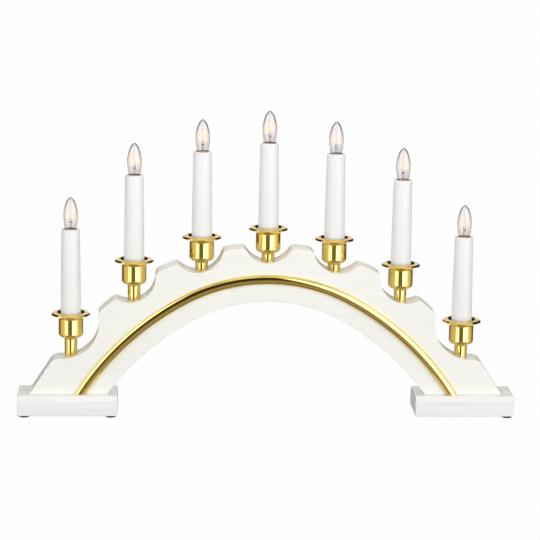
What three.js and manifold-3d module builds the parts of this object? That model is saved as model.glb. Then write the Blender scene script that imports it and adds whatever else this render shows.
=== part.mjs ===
// Electric candle arch: seven lamps in brass cups on a scalloped wooden board.
// Millimetres, +Z up. The front faces -Y, x = 0 is the middle and the feet stand on z = 0.
import * as THREE from 'three';
import { mergeVertices } from 'three/addons/utils/BufferGeometryUtils.js';
import Module from 'manifold-3d';

const wasm = await Module();
wasm.setup();

// Clearances
const GAP = 0.3; // between a piece and the seat or bore that holds it
const OVERRUN = 2; // how far a cutter runs past the face that it opens

// Rubber feet
const FOOT_DIAMETER = 12;
const FOOT_TAPER = 0.9; // how much the radius shrinks towards the floor
const FOOT_HEIGHT = 2;
const FOOT_INSET_X = 6.8; // from the end of a block to the foot's centre
const FOOT_INSET_Y = 7;
const FOOT_SET_BACK = 10; // the right block's inner front foot sits further back

// Base blocks
const BASE_LENGTH = 102;
const BASE_DEPTH = 52;
const BASE_HEIGHT = 20.4;
const BASE_BEVEL = 5; // along the two long top edges
const BASE_EDGE = 0.8; // broken edge round both ends
const BASE_OVERHANG = 12.1; // past the outer end of the board

// Board: rises are measured from the tops of the base blocks
const BOARD_THICKNESS = 28;
const OPENING_RISE = 97.4;
const CROWN_RADIUS = 154.3;
const HAUNCH_RADIUS = 266;
const HAUNCH_ANGLE = THREE.MathUtils.degToRad(28); // where the crown arc hands over
const TOP_RISE = 153.8;
const TOP_RADIUS = 250.4;
const SCALLOP_RADIUS = 26.4;
const SCALLOP_LIFT = 9.7; // scallop centres lie this far outside the top curve
const SCALLOP_LEAN = 4.5; // scallop centres lie this far outside their candles
const SHELF_RISE = 36.9;
const SHELF_LENGTH = 10;
const END_SCALLOP_RADIUS = 36.8;
const END_SCALLOP_LEAN = 8;
const END_SLOPE_RUN = 24;

// Candle places: distances from the middle, and how far each rim stands over its seat.
// The cups are pressed in by hand, so the rims stand at slightly different heights.
const INNER_CANDLE = 67.7;
const MIDDLE_CANDLE = 136.5;
const OUTER_CANDLE = 200.9;
const RIM_STANDOFFS = [43.3, 41.1, 34.4, 33.7, 33.0, 37.9, 37.5];

// Wiring groove in the back of the board, and the bores that lead to it
const GROOVE_WIDTH = 8;
const GROOVE_OVER_OPENING = 10.2; // groove's middle line over the opening's crown
const GROOVE_END_RISE = 15.6; // groove's middle line at the outer candles
const WIRE_BORE_DIAMETER = 8;
const WIRE_DIAMETER = 1.6;
const WIRE_PAIR_OFFSET = 2.2; // from the candle's axis to each wire
const WIRE_BEND_RADIUS = 3.2;
const RETURN_LANE = 2.4; // the return wire lies this far behind the links
const GLAND_PAST_CANDLE = 12; // along the groove, from the last candle to the gland
const GLAND_LENGTH = 8;
const GLAND_FLANGE_DIAMETER = 11.4;
const GLAND_FLANGE_THICKNESS = 2;
const GLAND_BORE_DIAMETER = 5.2;
const GLAND_PAIR_OFFSET = 1.05;

// Brass trim: a half-round rod bent along the opening
const TRIM_OFFSET = 23; // from the opening's edge to the rod's middle
const TRIM_WIDTH = 10;
const TRIM_HEIGHT = 4.6;

// Cup, with heights measured down from its rim
const RIM_DIAMETER = 40;
const RIM_LIP = 0.7;
const CREST_DIAMETER = 27.4; // the flange falls from here to the rim
const CREST_RISE = 2;
const CUP_DIAMETER = 25;
const CUP_WALL = 0.8;
const FLARE_HEIGHT = 4.2;
const CUP_DEPTH = 20;
const SHOULDER_RADIUS = 4;
const NECK_DIAMETER = 12.8;
const NECK_FILLET = 2.1;
const CUP_HEIGHT = 49;

// Candle tube: its spigot stands in the cup's neck
const TUBE_RISE = 88.2; // top of the tube over the rim
const TUBE_TOP_DIAMETER = 18.7;
const TUBE_FOOT_DIAMETER = 21.5;
const TUBE_TOP_ROUND = 1.8;
const TUBE_WALL = 2.3;
const SPIGOT_LENGTH = 14;
const SPIGOT_BORE_DIAMETER = 8.2;

// Lamp holder and lamp, with heights measured from the top of the tube
const HOLDER_DIAMETER = 13.2;
const HOLDER_FLANGE = 2.6;
const HOLDER_BODY_LENGTH = 19.7;
const HOLDER_TOP_DEPTH = 4.6;
const CAP_DIAMETER = 9.5;
const CAP_LENGTH = 7.7;
const CAP_TIP_LENGTH = 2.2;
const CAP_TIP_DIAMETER = 4.6;
const GLASS_FOOT_DEPTH = 4;
const GLASS_FOOT_DIAMETER = 10;
const GLASS_MOUTH_DIAMETER = 12; // where the glass leaves the tube
const GLASS_DIAMETER = 14.8;
const GLASS_BELLY_RISE = 15.5;
const GLASS_NECK_DIAMETER = 9.4; // where the glass draws in to its tip
const GLASS_NECK_RISE = 27;
const GLASS_TIP_RISE = 32.8;
const GLASS_WALL = 0.6;
const FILAMENT_RISE = 19.5;
const FILAMENT_HEIGHT = 8;
const FILAMENT_WIDTH = 4;
const FILAMENT_WIRE = 0.9;
const BEAD_RISE = 7.5; // up to here the lead wires stand straight
const LEAD_SPREAD = 2.6;

// Screws that hold each block to the board, driven from below
const SCREW_DIAMETER = 4;
const SCREW_HEAD_DIAMETER = 8;
const SCREW_HEAD_HEIGHT = 2.6;
const SCREW_RECESS = 8;
const SCREW_BITE = 15; // thread in the board
const SCREW_INSET = 15; // from each end of the board's foot

// Facets
const CUP_SIDES = 16;
const TUBE_SIDES = 14;
const GLASS_SIDES = 12;
const SMALL_SIDES = 10;
const WIRE_SIDES = 5;
const SCALLOP_SIDES = 32;
const TOP_STEPS = 36;
const CROWN_STEPS = 12;
const HAUNCH_STEPS = 7;
const GROOVE_STEPS = 20;
const GLASS_STEPS = 6;
const TRIM_STEPS = 6;
const BEND_STEPS = 3;
const BEND_LEAST = 0.2; // corners that turn less than this stay sharp, in radians
const WIRE_STEP = 22; // distance between a wire's points along the groove

// Heights and places worked out from the sizes above
const BLOCK_TOP = FOOT_HEIGHT + BASE_HEIGHT;
const BOARD_BACK = BOARD_THICKNESS / 2;
const OPENING_CENTRE = BLOCK_TOP + OPENING_RISE - CROWN_RADIUS;
const HAUNCH_SHIFT = HAUNCH_RADIUS - CROWN_RADIUS;
const HAUNCH_X = HAUNCH_SHIFT * Math.sin(HAUNCH_ANGLE);
const HAUNCH_Z = OPENING_CENTRE - HAUNCH_SHIFT * Math.cos(HAUNCH_ANGLE);
const TOP_CENTRE = BLOCK_TOP + TOP_RISE - TOP_RADIUS;
const SHELF_Z = BLOCK_TOP + SHELF_RISE;
const SHELF_END = OUTER_CANDLE + END_SCALLOP_LEAN + SHELF_LENGTH;
const BOARD_END = SHELF_END + END_SLOPE_RUN;
const BASE_END = BOARD_END + BASE_OVERHANG;
const GROOVE_CROWN = BLOCK_TOP + OPENING_RISE + GROOVE_OVER_OPENING;
const GROOVE_DROP = GROOVE_CROWN - BLOCK_TOP - GROOVE_END_RISE;
const GROOVE_RADIUS = (OUTER_CANDLE ** 2 + GROOVE_DROP ** 2) / (2 * GROOVE_DROP);
const GROOVE_CENTRE = GROOVE_CROWN - GROOVE_RADIUS;
const GROOVE_FLOOR = -(WIRE_DIAMETER / 2 + GAP);
const CUP_FLOOR = -CUP_DEPTH - SHOULDER_RADIUS + CUP_WALL; // from the rim
const HOLDER_UNDERSIDE = HOLDER_TOP_DEPTH + HOLDER_BODY_LENGTH + HOLDER_FLANGE;

// Finishes
const lacquer = new THREE.MeshStandardMaterial({ color: 0xf3f2ec, roughness: 0.45 });
const brass = new THREE.MeshStandardMaterial({ color: 0xd8b24a, roughness: 0.15, metalness: 1 });
const whitePlastic = new THREE.MeshStandardMaterial({ color: 0xf4f4f2, roughness: 0.4 });
const holderPlastic = new THREE.MeshStandardMaterial({ color: 0x8a6a48, roughness: 0.6 });
const glass = new THREE.MeshStandardMaterial({
  color: 0xf6efe8,
  roughness: 0.05,
  transparent: true,
  opacity: 0.35,
});
const lampMetal = new THREE.MeshStandardMaterial({ color: 0xc9b27a, roughness: 0.3, metalness: 1 });
const steel = new THREE.MeshStandardMaterial({ color: 0xb8babd, roughness: 0.35, metalness: 1 });
const rubber = new THREE.MeshStandardMaterial({ color: 0x232323, roughness: 0.8 });
const insulation = new THREE.MeshStandardMaterial({ color: 0xe9e7e0, roughness: 0.5 });

// Closed geometry to a solid that can be joined and cut
function toSolid(geometry) {
  const bare = geometry.clone();
  bare.deleteAttribute('normal');
  bare.deleteAttribute('uv');
  const merged = mergeVertices(bare, 1e-4);
  const corners = merged.index.array;
  const triVerts = [];
  for (let i = 0; i < corners.length; i += 3) {
    const [a, b, c] = corners.slice(i, i + 3);
    if (a !== b && b !== c && c !== a) triVerts.push(a, b, c);
  }
  const vertProperties = merged.attributes.position.array;
  const mesh = new wasm.Mesh({ numProp: 3, vertProperties, triVerts: new Uint32Array(triVerts) });
  return new wasm.Manifold(mesh);
}

function toGeometry(solid) {
  const mesh = solid.getMesh();
  const geometry = new THREE.BufferGeometry();
  geometry.setAttribute('position', new THREE.BufferAttribute(mesh.vertProperties, 3));
  geometry.setIndex(new THREE.BufferAttribute(mesh.triVerts, 1));
  geometry.computeVertexNormals();
  return geometry;
}

function cut(geometry, cutters) {
  let solid = toSolid(geometry);
  for (const cutter of cutters) solid = solid.subtract(toSolid(cutter));
  return toGeometry(solid);
}

// Points of an arc from one angle to another, angles counted from +Z towards +X
function arc(centreX, centreZ, radius, from, to, steps) {
  const points = [];
  for (let i = 0; i <= steps; i += 1) {
    const angle = from + ((to - from) * i) / steps;
    points.push(new THREE.Vector2(centreX + radius * Math.sin(angle), centreZ + radius * Math.cos(angle)));
  }
  return points;
}

// Turned piece about the Z axis, from [radius, height] pairs going up its outside
function turned(profile, sides) {
  const points = profile.map(([radius, height]) => new THREE.Vector2(radius, height));
  if (profile[0][0] > 0) points.push(points[0].clone());
  return new THREE.LatheGeometry(points, sides).rotateX(Math.PI / 2);
}

// Upright cylinder between two heights
function upright(diameter, bottom, top, x, sides = SMALL_SIDES) {
  const cylinder = new THREE.CylinderGeometry(diameter / 2, diameter / 2, top - bottom, sides);
  return cylinder.rotateX(Math.PI / 2).translate(x, 0, (bottom + top) / 2);
}

// Shape drawn in x and z, made solid between two depths in y
function slab(shape, front, back) {
  const block = new THREE.ExtrudeGeometry(shape, { depth: back - front, bevelEnabled: false });
  return block.rotateX(Math.PI / 2).translate(0, back, 0);
}

// A path given by its own points, so that straight stretches stay one step long
class PointPath extends THREE.Curve {
  constructor(points) {
    super();
    this.points = points;
  }

  indexAt(u) {
    return Math.round(u * (this.points.length - 1));
  }

  getPointAt(u, target = new THREE.Vector3()) {
    return target.copy(this.points[this.indexAt(u)]);
  }

  getTangentAt(u, target = new THREE.Vector3()) {
    const i = this.indexAt(u);
    const here = this.points[i];
    target.set(0, 0, 0);
    if (i > 0) target.add(here.clone().sub(this.points[i - 1]).normalize());
    if (i < this.points.length - 1) target.add(this.points[i + 1].clone().sub(here).normalize());
    return target.normalize();
  }
}

function swept(section, points) {
  const settings = { steps: points.length - 1, extrudePath: new PointPath(points), bevelEnabled: false };
  return new THREE.ExtrudeGeometry(section, settings);
}

// Corner points to a path whose corners are bent to a radius, or less where a stretch is short
function bent(corners, radius) {
  const points = [corners[0]];
  for (let i = 1; i < corners.length - 1; i += 1) {
    const here = corners[i];
    const back = corners[i - 1].clone().sub(here);
    const ahead = corners[i + 1].clone().sub(here);
    const half = back.angleTo(ahead) / 2;
    if (Math.PI - 2 * half < BEND_LEAST) {
      points.push(here);
      continue;
    }
    const room = Math.min(back.length(), ahead.length()) / 2;
    const reach = Math.min(radius / Math.tan(half), room);
    const start = here.clone().addScaledVector(back.normalize(), reach);
    const end = here.clone().addScaledVector(ahead.normalize(), reach);
    const bow = reach * Math.tan(half);
    const middle = start.clone().add(end).multiplyScalar(0.5).sub(here).normalize();
    const centre = here.clone().addScaledVector(middle, Math.hypot(reach, bow));
    const first = start.clone().sub(centre);
    const axis = first.clone().cross(end.clone().sub(centre)).normalize();
    for (let step = 0; step <= BEND_STEPS; step += 1) {
      const turn = ((Math.PI - 2 * half) * step) / BEND_STEPS;
      points.push(first.clone().applyAxisAngle(axis, turn).add(centre));
    }
  }
  points.push(corners[corners.length - 1]);
  return points;
}

// Curve of the board's opening, or one parallel to it, from the left foot to the right
function openingCurve(offset, footZ) {
  const haunch = HAUNCH_RADIUS + offset;
  const footAngle = Math.acos((footZ - HAUNCH_Z) / haunch);
  const left = arc(HAUNCH_X, HAUNCH_Z, haunch, -footAngle, -HAUNCH_ANGLE, HAUNCH_STEPS);
  const crown = arc(0, OPENING_CENTRE, CROWN_RADIUS + offset, -HAUNCH_ANGLE, HAUNCH_ANGLE, CROWN_STEPS);
  const right = arc(-HAUNCH_X, HAUNCH_Z, haunch, HAUNCH_ANGLE, footAngle, HAUNCH_STEPS);
  return [...left, ...crown.slice(1), ...right.slice(1)];
}

function grooveZ(x) {
  return GROOVE_CENTRE + Math.sqrt(GROOVE_RADIUS ** 2 - x ** 2);
}

// The seven candles, left to right, each with its scallop, seat and rim
function candlePlace(x, standoff) {
  const side = Math.sign(x);
  const atEnd = Math.abs(x) === OUTER_CANDLE;
  const lean = atEnd ? END_SCALLOP_LEAN : SCALLOP_LEAN * Math.abs(side);
  const radius = atEnd ? END_SCALLOP_RADIUS : SCALLOP_RADIUS;
  const scallopX = x + side * lean;
  const ring = TOP_RADIUS + SCALLOP_LIFT;
  const scallopZ = atEnd ? SHELF_Z + radius : TOP_CENTRE + Math.sqrt(ring ** 2 - scallopX ** 2);
  const rim = scallopZ - Math.sqrt(radius ** 2 - lean ** 2) + standoff;
  return { x, radius, scallopX, scallopZ, rim, tubeTop: rim + TUBE_RISE };
}

const CANDLE_X = [OUTER_CANDLE, MIDDLE_CANDLE, INNER_CANDLE].map((x) => -x);
CANDLE_X.push(0, INNER_CANDLE, MIDDLE_CANDLE, OUTER_CANDLE);
const candles = CANDLE_X.map((x, i) => candlePlace(x, RIM_STANDOFFS[i]));

// Where the supply lead would come in, at the right end of the groove
const GLAND_ANGLE = Math.asin(OUTER_CANDLE / GROOVE_RADIUS) + GLAND_PAST_CANDLE / GROOVE_RADIUS;
const GLAND_X = GROOVE_RADIUS * Math.sin(GLAND_ANGLE);
const GLAND_Z = GROOVE_CENTRE + GROOVE_RADIUS * Math.cos(GLAND_ANGLE);

const OPENING_FOOT = openingCurve(0, BLOCK_TOP).at(-1).x;
const SCREW_X = [OPENING_FOOT + SCREW_INSET, BOARD_END - SCREW_INSET];

// The board before its scallops are cut: they take the corners inside the two shelves away
function boardOutline() {
  const topAngle = Math.asin(OUTER_CANDLE / TOP_RADIUS);
  const shelfStart = SHELF_END - SHELF_LENGTH;
  return new THREE.Shape([
    new THREE.Vector2(-BOARD_END, BLOCK_TOP),
    new THREE.Vector2(-SHELF_END, SHELF_Z),
    new THREE.Vector2(-shelfStart, SHELF_Z),
    ...arc(0, TOP_CENTRE, TOP_RADIUS, -topAngle, topAngle, TOP_STEPS),
    new THREE.Vector2(shelfStart, SHELF_Z),
    new THREE.Vector2(SHELF_END, SHELF_Z),
    new THREE.Vector2(BOARD_END, BLOCK_TOP),
    ...openingCurve(0, BLOCK_TOP).reverse(),
  ]);
}

// Curved slot with round ends, from the first candle to the supply lead's gland
function grooveShape() {
  const start = -Math.asin(OUTER_CANDLE / GROOVE_RADIUS);
  const half = GROOVE_WIDTH / 2;
  const endArc = (angle, turn) => {
    const x = GROOVE_RADIUS * Math.sin(angle);
    const z = GROOVE_CENTRE + GROOVE_RADIUS * Math.cos(angle);
    return arc(x, z, half, angle + turn, angle + turn + Math.PI, SMALL_SIDES / 2).slice(1, -1);
  };
  return new THREE.Shape([
    ...arc(0, GROOVE_CENTRE, GROOVE_RADIUS + half, start, GLAND_ANGLE, GROOVE_STEPS),
    ...endArc(GLAND_ANGLE, 0),
    ...arc(0, GROOVE_CENTRE, GROOVE_RADIUS - half, GLAND_ANGLE, start, GROOVE_STEPS),
    ...endArc(start, Math.PI),
  ]);
}

function boardGeometry() {
  const cutters = [slab(grooveShape(), GROOVE_FLOOR, BOARD_BACK + OVERRUN)];
  for (const { x, radius, scallopX, scallopZ, rim } of candles) {
    const circle = arc(scallopX, scallopZ, radius, 0, 2 * Math.PI, SCALLOP_SIDES).slice(1);
    cutters.push(slab(new THREE.Shape(circle), -BOARD_BACK - OVERRUN, BOARD_BACK + OVERRUN));
    const boreFloor = rim - CUP_HEIGHT;
    cutters.push(upright(NECK_DIAMETER + 2 * GAP, boreFloor, rim, x, CUP_SIDES));
    cutters.push(upright(WIRE_BORE_DIAMETER, grooveZ(x), boreFloor + OVERRUN, x));
  }
  const pilotTop = BLOCK_TOP + SCREW_BITE + GAP;
  for (const x of SCREW_X) {
    for (const side of [-1, 1]) {
      cutters.push(upright(SCREW_DIAMETER + 2 * GAP, BLOCK_TOP - OVERRUN, pilotTop, side * x));
    }
  }
  return cut(slab(boardOutline(), -BOARD_BACK, BOARD_BACK), cutters);
}

function baseGeometry(side) {
  const half = BASE_DEPTH / 2;
  const section = new THREE.Shape([
    new THREE.Vector2(-half, 0),
    new THREE.Vector2(half, 0),
    new THREE.Vector2(half, BASE_HEIGHT - BASE_BEVEL),
    new THREE.Vector2(half - BASE_BEVEL, BASE_HEIGHT),
    new THREE.Vector2(BASE_BEVEL - half, BASE_HEIGHT),
    new THREE.Vector2(-half, BASE_HEIGHT - BASE_BEVEL),
  ]);
  const block = new THREE.ExtrudeGeometry(section, {
    depth: BASE_LENGTH - 2 * BASE_EDGE,
    bevelSize: BASE_EDGE,
    bevelOffset: -BASE_EDGE,
    bevelThickness: BASE_EDGE,
    bevelSegments: 1,
  });
  block.translate(0, 0, BASE_EDGE - BASE_LENGTH / 2).rotateX(Math.PI / 2).rotateZ(Math.PI / 2);
  block.translate(side * (BASE_END - BASE_LENGTH / 2), 0, FOOT_HEIGHT);
  const recessTop = FOOT_HEIGHT + SCREW_RECESS;
  const holes = SCREW_X.flatMap((x) => [
    upright(SCREW_DIAMETER + 2 * GAP, FOOT_HEIGHT, BLOCK_TOP + OVERRUN, side * x),
    upright(SCREW_HEAD_DIAMETER + 2 * GAP, FOOT_HEIGHT - OVERRUN, recessTop, side * x),
  ]);
  return cut(block, holes);
}

function footGeometry() {
  const radius = FOOT_DIAMETER / 2;
  return turned([
    [0, 0],
    [radius - FOOT_TAPER, 0],
    [radius, FOOT_HEIGHT / 2],
    [radius, FOOT_HEIGHT],
    [0, FOOT_HEIGHT],
  ], SMALL_SIDES);
}

// The head's underside bears on the recess, and the shank passes into the board
function screwGeometry() {
  const seat = FOOT_HEIGHT + SCREW_RECESS;
  const shank = SCREW_DIAMETER / 2;
  const head = SCREW_HEAD_DIAMETER / 2;
  return turned([
    [0, seat - SCREW_HEAD_HEIGHT],
    [head, seat - SCREW_HEAD_HEIGHT],
    [head, seat],
    [shank, seat],
    [shank, BLOCK_TOP + SCREW_BITE - SCREW_DIAMETER],
    [0, BLOCK_TOP + SCREW_BITE],
  ], SMALL_SIDES);
}

function trimGeometry() {
  const half = TRIM_WIDTH / 2;
  const section = arc(0, 0, 1, 0, Math.PI, TRIM_STEPS);
  for (const point of section) point.set(point.x * TRIM_HEIGHT, point.y * half);
  const path = openingCurve(TRIM_OFFSET, BLOCK_TOP - TRIM_WIDTH);
  const route = path.map((point) => new THREE.Vector3(point.x, -BOARD_BACK, point.y));
  const rod = swept(new THREE.Shape(section), route);
  const below = new THREE.BoxGeometry(2 * BASE_END, BASE_DEPTH, 2 * BLOCK_TOP);
  return cut(rod, [below.translate(0, 0, GAP)]);
}

// Spun cup: a flange that falls from its mouth to a rolled lip, straight wall, round shoulder and a neck
function cupGeometry() {
  const rim = RIM_DIAMETER / 2;
  const outer = CUP_DIAMETER / 2;
  const inner = outer - CUP_WALL;
  const neck = NECK_DIAMETER / 2;
  const shoulder = outer - SHOULDER_RADIUS;
  const lip = rim - RIM_LIP;
  // Middle of a quarter ellipse that leaves the wall upright and ends level at the lip
  const flare = [lip - (lip - outer) * Math.SQRT1_2, (FLARE_HEIGHT - RIM_LIP) * Math.SQRT1_2 - FLARE_HEIGHT];
  return turned([
    [neck, -CUP_HEIGHT],
    [neck, -CUP_DEPTH - SHOULDER_RADIUS - NECK_FILLET],
    [shoulder, -CUP_DEPTH - SHOULDER_RADIUS],
    [shoulder + SHOULDER_RADIUS * Math.SQRT1_2, -CUP_DEPTH - SHOULDER_RADIUS * Math.SQRT1_2],
    [outer, -CUP_DEPTH],
    [outer, -FLARE_HEIGHT],
    flare,
    [lip, -RIM_LIP],
    [rim, 0],
    [lip, RIM_LIP],
    [CREST_DIAMETER / 2, CREST_RISE],
    [inner, -FLARE_HEIGHT],
    [inner, -CUP_DEPTH],
    [shoulder, CUP_FLOOR],
    [neck - CUP_WALL, CUP_FLOOR],
    [neck - CUP_WALL, -CUP_HEIGHT],
  ], CUP_SIDES);
}

// Candle: its foot rests on the cup's floor and its spigot stands in the neck
function tubeGeometry() {
  const top = TUBE_TOP_DIAMETER / 2;
  const seat = CUP_DIAMETER / 2 - SHOULDER_RADIUS - GAP;
  const spigot = NECK_DIAMETER / 2 - CUP_WALL - GAP;
  const wireWay = SPIGOT_BORE_DIAMETER / 2;
  const holderBore = HOLDER_DIAMETER / 2 + GAP;
  const shaft = holderBore + HOLDER_FLANGE / 2;
  const step = TUBE_RISE - HOLDER_TOP_DEPTH - HOLDER_BODY_LENGTH;
  const roundOff = TUBE_TOP_ROUND * (1 - Math.SQRT1_2);
  return turned([
    [wireWay, CUP_FLOOR - SPIGOT_LENGTH],
    [spigot, CUP_FLOOR - SPIGOT_LENGTH],
    [spigot, CUP_FLOOR],
    [seat, CUP_FLOOR],
    [TUBE_FOOT_DIAMETER / 2, -CUP_DEPTH],
    [top, TUBE_RISE - TUBE_TOP_ROUND],
    [top - roundOff, TUBE_RISE - roundOff],
    [top - TUBE_TOP_ROUND, TUBE_RISE],
    [holderBore, TUBE_RISE],
    [holderBore, step],
    [shaft, step],
    [shaft, TUBE_WALL - CUP_DEPTH],
    [wireWay, TUBE_WALL - CUP_DEPTH],
  ], TUBE_SIDES);
}

// Socket for the lamp's screw cap; its flange bears up on the step in the tube
function holderGeometry() {
  const body = HOLDER_DIAMETER / 2;
  const bore = CAP_DIAMETER / 2 + GAP;
  const flange = body + HOLDER_FLANGE / 2;
  const capFoot = GLASS_FOOT_DEPTH + GAP + CAP_LENGTH + CAP_TIP_LENGTH;
  return turned([
    [0, -HOLDER_UNDERSIDE],
    [flange, -HOLDER_UNDERSIDE],
    [flange, HOLDER_FLANGE - HOLDER_UNDERSIDE],
    [body, HOLDER_FLANGE - HOLDER_UNDERSIDE],
    [body, -HOLDER_TOP_DEPTH],
    [bore, -HOLDER_TOP_DEPTH],
    [bore, -capFoot - GAP],
    [0, -capFoot - GAP],
  ], SMALL_SIDES);
}

// Flame-shaped envelope, open at the cap
function glassGeometry() {
  const curve = new THREE.SplineCurve([
    new THREE.Vector2(GLASS_FOOT_DIAMETER / 2, -GLASS_FOOT_DEPTH),
    new THREE.Vector2(GLASS_MOUTH_DIAMETER / 2, 0),
    new THREE.Vector2(GLASS_DIAMETER / 2, GLASS_BELLY_RISE),
    new THREE.Vector2(GLASS_NECK_DIAMETER / 2, GLASS_NECK_RISE),
    new THREE.Vector2(GLASS_WALL, GLASS_TIP_RISE - GLASS_WALL / 2),
  ]);
  const outside = curve.getPoints(GLASS_STEPS).map(({ x, y }) => [x, y]);
  const inside = outside.slice(0, -1).map(([radius, z]) => [radius - GLASS_WALL, z]);
  const tip = [[0, GLASS_TIP_RISE], [0, GLASS_TIP_RISE - 3 * GLASS_WALL]];
  return turned([...outside, ...tip, ...inside.reverse()], GLASS_SIDES);
}

// Screw cap with its contact, and the lead wires and filament that stand on it
function capGeometry() {
  const cap = CAP_DIAMETER / 2;
  const top = -GLASS_FOOT_DEPTH - GAP;
  const capFoot = top - CAP_LENGTH;
  const contact = CAP_TIP_DIAMETER / 2;
  const shell = turned([
    [0, capFoot - CAP_TIP_LENGTH],
    [contact, capFoot],
    [cap, capFoot],
    [cap, top],
    [0, top],
  ], SMALL_SIDES);
  const lead = LEAD_SPREAD / 2;
  const wide = FILAMENT_WIDTH / 2;
  const legs = FILAMENT_RISE - FILAMENT_HEIGHT;
  const corners = [[lead, top - FILAMENT_WIRE], [lead, BEAD_RISE], [wide, legs], [lead, FILAMENT_RISE]];
  const left = corners.map(([x, z]) => new THREE.Vector3(-x, 0, z));
  const right = corners.map(([x, z]) => new THREE.Vector3(x, 0, z));
  const section = new THREE.Shape(arc(0, 0, FILAMENT_WIRE / 2, 0, 2 * Math.PI, WIRE_SIDES).slice(1));
  const wire = swept(section, [...left, ...right.reverse()]);
  return toGeometry(toSolid(shell).add(toSolid(wire)));
}

// Bush that guides the supply lead into the end of the groove
function glandGeometry() {
  const body = GROOVE_WIDTH / 2 - GAP;
  const bore = GLAND_BORE_DIAMETER / 2;
  const flange = GLAND_FLANGE_DIAMETER / 2;
  const bush = turned([
    [bore, -GLAND_LENGTH],
    [body, -GLAND_LENGTH],
    [body, 0],
    [flange, 0],
    [flange, GLAND_FLANGE_THICKNESS],
    [bore, GLAND_FLANGE_THICKNESS],
  ], SMALL_SIDES);
  return bush.rotateX(-Math.PI / 2).translate(GLAND_X, BOARD_BACK, GLAND_Z);
}

// Points along the groove between two x values, in one lane
function groovePoints(from, to, lane) {
  const a = Math.asin(from / GROOVE_RADIUS);
  const b = Math.asin(to / GROOVE_RADIUS);
  const steps = Math.max(1, Math.round((Math.abs(b - a) * GROOVE_RADIUS) / WIRE_STEP));
  return arc(0, GROOVE_CENTRE, GROOVE_RADIUS, a, b, steps).map((p) => new THREE.Vector3(p.x, lane, p.y));
}

function wireGeometry(corners) {
  const section = new THREE.Shape(arc(0, 0, WIRE_DIAMETER / 2, 0, 2 * Math.PI, WIRE_SIDES).slice(1));
  return swept(section, bent(corners, WIRE_BEND_RADIUS));
}

// Where a wire ends under its lamp holder
function wireEnd({ x, tubeTop }, side) {
  return new THREE.Vector3(x + side * WIRE_PAIR_OFFSET, 0, tubeTop - HOLDER_UNDERSIDE - GAP);
}

function linkGeometry(left, right) {
  const run = groovePoints(left.x + WIRE_PAIR_OFFSET, right.x - WIRE_PAIR_OFFSET, 0);
  return wireGeometry([wireEnd(left, 1), ...run, wireEnd(right, -1)]);
}

// Corner and end of a wire that leaves the groove through the gland
function glandExit(offset, lane) {
  const x = GLAND_X + offset * Math.cos(GLAND_ANGLE);
  const z = GLAND_Z - offset * Math.sin(GLAND_ANGLE);
  const out = BOARD_BACK + GLAND_FLANGE_THICKNESS / 2;
  return [new THREE.Vector3(x, lane, z), new THREE.Vector3(x, out, z)];
}

function feedGeometry(last) {
  const start = wireEnd(last, 1);
  const [corner, end] = glandExit(GLAND_PAIR_OFFSET, 0);
  return wireGeometry([start, new THREE.Vector3(start.x, 0, grooveZ(start.x)), corner, end]);
}

function returnGeometry(first) {
  const start = wireEnd(first, -1);
  const crossing = grooveZ(start.x) + GROOVE_WIDTH;
  const [corner, end] = glandExit(-GLAND_PAIR_OFFSET, RETURN_LANE);
  const run = groovePoints(start.x, OUTER_CANDLE, RETURN_LANE);
  return wireGeometry([start, new THREE.Vector3(start.x, 0, crossing), ...run, corner, end]);
}

const candleArch = new THREE.Group();

function place(name, geometry, material, x = 0, y = 0, z = 0) {
  const mesh = new THREE.Mesh(geometry, material);
  mesh.name = name;
  mesh.position.set(x, y, z);
  candleArch.add(mesh);
}

place('arch_board', boardGeometry(), lacquer);
place('brass_trim', trimGeometry(), brass);
place('cord_gland', glandGeometry(), whitePlastic);

for (const [sideName, side] of [['left', -1], ['right', 1]]) {
  place(`base_${sideName}`, baseGeometry(side), lacquer);
  const outerX = BASE_END - FOOT_INSET_X;
  const innerX = BASE_END - BASE_LENGTH + FOOT_INSET_X;
  const footY = BASE_DEPTH / 2 - FOOT_INSET_Y;
  const setBack = side > 0 ? FOOT_SET_BACK : 0;
  place(`foot_${sideName}_outer_front`, footGeometry(), rubber, side * outerX, -footY);
  place(`foot_${sideName}_outer_back`, footGeometry(), rubber, side * outerX, footY);
  place(`foot_${sideName}_inner_front`, footGeometry(), rubber, side * innerX, setBack - footY);
  place(`foot_${sideName}_inner_back`, footGeometry(), rubber, side * innerX, footY);
  place(`screw_${sideName}_inner`, screwGeometry(), steel, side * SCREW_X[0]);
  place(`screw_${sideName}_outer`, screwGeometry(), steel, side * SCREW_X[1]);
}

candles.forEach(({ x, rim, tubeTop }, i) => {
  const number = i + 1;
  place(`cup_${number}`, cupGeometry(), brass, x, 0, rim);
  place(`candle_tube_${number}`, tubeGeometry(), whitePlastic, x, 0, rim);
  place(`lamp_holder_${number}`, holderGeometry(), holderPlastic, x, 0, tubeTop);
  place(`bulb_glass_${number}`, glassGeometry(), glass, x, 0, tubeTop);
  place(`bulb_cap_${number}`, capGeometry(), lampMetal, x, 0, tubeTop);
  if (i > 0) place(`wire_link_${i}_${number}`, linkGeometry(candles[i - 1], candles[i]), insulation);
});
place('wire_feed', feedGeometry(candles.at(-1)), insulation);
place('wire_return', returnGeometry(candles[0]), insulation);

export default candleArch;
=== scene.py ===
"""Looks of an electric candle arch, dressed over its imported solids.

Lengths are in millimetres and become metres where a mesh is made.
The front faces -Y and the floor is z = 0.
"""

import math

import bmesh
import bpy
from mathutils import Matrix, Vector


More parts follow.
